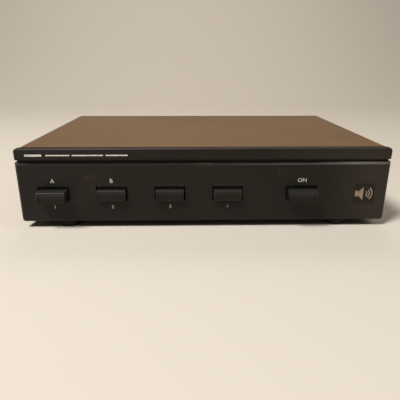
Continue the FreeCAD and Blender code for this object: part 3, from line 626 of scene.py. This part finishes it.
# Printing on the fascia. Warm white screen print, a few hundredths of a millimetre
# thick: numbers under the row, letters over three buttons, and a broken rule on the lip.
print_thickness = 0.00002
number_height = 0.0021
number_low = fascia_low.z + 0.0081
letter_height = 0.0024
letter_low = fascia_low.z + 0.0238
capital_share = 0.7
front_turn = Matrix.Rotation(math.pi / 2, 4, "X")


def ink(name, worn_colour, full_colour, wear_scale=900.0):
    """Screen print ink, thin in places."""
    material, tree, shader = new_material(name)
    grain = add(tree, "ShaderNodeGroup", {"node_tree": grain_group}, Vector=object_vector(tree), Grain_Scale=2500.0,
                Drift_Scale=wear_scale, Gloss=0.55, Spread=0.1)
    share = ranged(tree, grain.outputs["Drift"], 0.3, 0.6, 0.0, 1.0)
    feed(tree, shader.inputs["Base Color"], mixed(tree, share, worn_colour, full_colour))
    feed(tree, shader.inputs["Roughness"], grain.outputs["Roughness"])
    return material


def printed(name, words, height, place, turn, material, slot):
    """Words as a thin raised mesh, centred over the place, facing as the turn says."""
    curve = bpy.data.curves.new(name, "FONT")
    curve.body = words
    curve.align_x = "CENTER"
    curve.size = height / capital_share
    curve.extrude = print_thickness
    curve.resolution_u = 3
    drawn = linked(name + "_curve", curve)
    bpy.context.view_layer.update()
    mesh = bpy.data.meshes.new_from_object(drawn.evaluated_get(bpy.context.evaluated_depsgraph_get()))
    bpy.data.objects.remove(drawn)
    mesh.transform(Matrix.Translation(place) @ turn)
    mesh.materials.clear()
    mesh.materials.append(material)
    return kept_with(linked(name, mesh), "case", slot)


warm_white = ink("warm_white_ink", (0.44, 0.41, 0.37), (0.80, 0.76, 0.70))
faint_white = ink("faint_white_ink", (0.10, 0.09, 0.075), (0.33, 0.30, 0.26))
for number in range(1, 5):
    printed(f"number_{number}", str(number), number_height,
            (across(f"button_{number}"), fascia_front, number_low), front_turn,
            faint_white if number == 4 else warm_white, "fascia_plastic")
for letter, button in (("A", 1), ("B", 2), ("ON", 5)):
    printed(f"letter_{letter}", letter, letter_height,
            (across(f"button_{button}"), fascia_front, letter_low), front_turn, warm_white, "fascia_plastic")


def flat_shapes(name, outlines, material, slot, turn, place, thickness=print_thickness):
    """Flat printed shapes from anticlockwise outlines, each given a print's thickness."""
    corners, faces = [], []
    for points in outlines:
        lower = range(len(corners), len(corners) + len(points))
        upper = [corner + len(points) for corner in lower]
        corners += [(x, y, z) for z in (0, thickness) for x, y in points]
        faces += [lower[::-1], upper]
        faces += [(lower[k - 1], lower[k], upper[k], upper[k - 1]) for k in range(len(points))]
    mesh = bpy.data.meshes.new(name)
    mesh.from_pydata(corners, [], faces)
    mesh.transform(Matrix.Translation(place) @ turn)
    mesh.materials.append(material)
    return kept_with(linked(name, mesh), "case", slot)


def bar(left, low, width, tall):
    return [(left, low), (left + width, low), (left + width, low + tall), (left, low + tall)]


rule_left = fascia_low.x + 0.0063
rule_low = fascia_low.z + 0.0393
rule_tall = 0.0007
dashes = [bar(left, rule_tall / 2, length, rule_tall)
          for left, length in ((0.0119, 0.0133), (0.0266, 0.0176), (0.0456, 0.0124))]
flat_shapes("lip_rule", [bar(0, 0.0001, 0.0095, 0.0012)] + dashes,
            warm_white, "fascia_plastic", front_turn, (rule_left, fascia_front, rule_low))

# Sign at the right. A dark printed square, and on it a plain loudspeaker with three
# waves in a tan grey ink.
sign_half = 0.0062
sign_place = (fascia_high.x - 0.0134, fascia_front, fascia_low.z + 0.0165)
square_ink = skin("square_ink", (0.006, 0.0045, 0.003), (0.009, 0.0065, 0.0045), gloss=0.45, film=0.0, specks=0.1,
                  specular=0.3)
flat_shapes("sign_square", [bar(-sign_half, -sign_half, 2 * sign_half, 2 * sign_half)], square_ink,
            "fascia_plastic", front_turn, sign_place)
tan_ink = skin("tan_ink", (0.26, 0.185, 0.12), (0.36, 0.27, 0.19), gloss=0.5, drift_scale=700.0, film=0.0, specks=0.0,
               specular=0.3)
waves = 3
wave_step = 0.0015
wave_stroke = 0.0007
wave_middle = -0.0006
arc_steps = 9
arc_half = 42
shapes = [bar(-0.0054, -0.0017, 0.0022, 0.0034),
          [(-0.0030, -0.0017), (-0.0006, -0.0040), (-0.0006, 0.0040), (-0.0030, 0.0017)]]
for wave in range(waves):
    inner = 0.0019 + wave * wave_step
    swing = [math.radians(arc_half * (2 * step / arc_steps - 1)) for step in range(arc_steps + 1)]
    shapes.append([(reach * math.cos(a) + wave_middle, reach * math.sin(a))
                   for reach, angles in ((inner + wave_stroke, swing), (inner, reversed(swing))) for a in angles])
flat_shapes("sign", shapes, tan_ink, "fascia_plastic", front_turn, sign_place, 2 * print_thickness)

# Buttons. Five caps of dark grey plastic, a little bluer than the fascia, each
# pushed on its plunger. The warm brown of their lower fronts is a painted reflection,
# their paler upper fronts are a painted highlight, and their tops close to the fascia
# are painted shade.
cap_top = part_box("button_1")[1].z
# Heights below the cap's top of the painted highlight band and of its softened top edge, and distances before the
# fascia over which the painted shade comes in
cap_highlight_band = (0.0030, 0.0018)
edge_band = (0.0007, 0.0002)
cap_shade_band = (0.0026, 0.0012)


def near_panel(tree, vector, strength):
    """The part of a cap close to the fascia, inside its opening: the mask of its painted
    shade and of its duller finish.
    """
    ahead = add(tree, "ShaderNodeSeparateXYZ", Vector=vector).outputs["Y"]
    start, end = (fascia_front - ahead_by for ahead_by in cap_shade_band)
    return ranged(tree, ahead, start, end, 0.0, strength)


def finger_polish(tree, vector, body):
    """The upper front of every cap is painted paler and bluer as a painted highlight, its top
    edge a little less pale to soften it, and the part close to the fascia is painted dark
    as painted shade."""
    up = add(tree, "ShaderNodeSeparateXYZ", Vector=vector).outputs["Z"]
    for (start, end), strength, colour in ((cap_highlight_band, 1.0, (0.026, 0.0252, 0.0242)),
                                           (edge_band, 0.6, (0.018, 0.0185, 0.019))):
        body = mixed(tree, ranged(tree, up, cap_top - start, cap_top - end, 0.0, strength), body, colour)
    return mixed(tree, near_panel(tree, vector, 0.9), body, (0.002, 0.002, 0.002))


def finger_matt(tree, vector):
    return near_panel(tree, vector, 0.4)


# The warm brown body colour is a painted reflection; the marks add a painted highlight and painted shade
button_plastic = skin("button_plastic", (0.0110, 0.0076, 0.0050), (0.0138, 0.0096, 0.0064), gloss=0.46,
                      grain_scale=5000.0, grain_depth=0.00002, film=0.01, specks=0.2, speck_scale=500.0,
                      specular=0.24, marks=finger_polish, matt=finger_matt)
dress(button_plastic, *[f"button_{number}" for number in BUTTONS])

# Top cover. Sheet steel folded down at both sides and painted black, with a satin that
# carries broad soft darker patches and dust. Its brown colour is a painted reflection,
# and a dark line along its front edge is painted shade where it meets the lip.
cover_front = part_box("top_cover")[0].y
# Where the painted shade line along the front edge starts to fade, and where it ends
edge_start = 0.0012
edge_end = 0.0022


def cover_patches(tree, vector, body):
    """Broad soft darker patches, and a painted shade line along the front edge where the
    cover meets the lip.
    """
    stretched = add(tree, "ShaderNodeMapping", Vector=vector, Scale=(1.0, 2.2, 1.0)).outputs["Vector"]
    patchy = mixed(tree, ranged(tree, noise(tree, stretched, 14.0, 5.0), 0.42, 0.68, 0.0, 0.45), body,
                   (0.112, 0.063, 0.027))
    back = add(tree, "ShaderNodeSeparateXYZ", Vector=vector).outputs["Y"]
    edge = ranged(tree, back, cover_front + edge_start, cover_front + edge_end, 0.9, 0.0)
    return mixed(tree, edge, patchy, (0.020, 0.012, 0.007))


# Black paint; the brown colour is a painted reflection
cover_paint = skin("cover_paint", (0.144, 0.077, 0.030), (0.156, 0.085, 0.034), gloss=0.5, spread=0.08,
                   grain_scale=2600.0, grain_depth=0.00004, drift_scale=9.0, film=0.06, specks=0.3,
                   speck_scale=180.0, specular=0.14, marks=cover_patches)
dress(cover_paint, "top_cover")

# Legends on the rear panel. The same white print over the blocks: IN for the
# amplifier, the speakers' numbers, and a sign for each lever's wire.
rear_turn = Matrix.Rotation(math.pi, 4, "Z") @ front_turn
panel_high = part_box("chassis")[1]
legend_low = panel_high.z - 0.0058
sign_low = panel_high.z - 0.0092
legend_height = 0.0026
sign_size = 0.0015
sign_stroke = 0.0004
for number, words in zip(BLOCKS, ("IN", "1", "2", "3", "4")):
    printed(f"legend_{number}", words, legend_height,
            (across(f"terminal_housing_{number}"), panel_high.y, legend_low), rear_turn, warm_white, "chassis_paint")
level = bar(-sign_size / 2, -sign_stroke / 2, sign_size, sign_stroke)
upright = [bar(-sign_stroke / 2, sign_stroke / 2, sign_stroke, (sign_size - sign_stroke) / 2),
           bar(-sign_stroke / 2, -sign_size / 2, sign_stroke, (sign_size - sign_stroke) / 2)]
for number in LEVERS:
    flat_shapes(f"polarity_{number}", [level] + (upright if number % 2 else []), warm_white, "chassis_paint",
                rear_turn, (across(f"lever_{number}"), panel_high.y, sign_low))
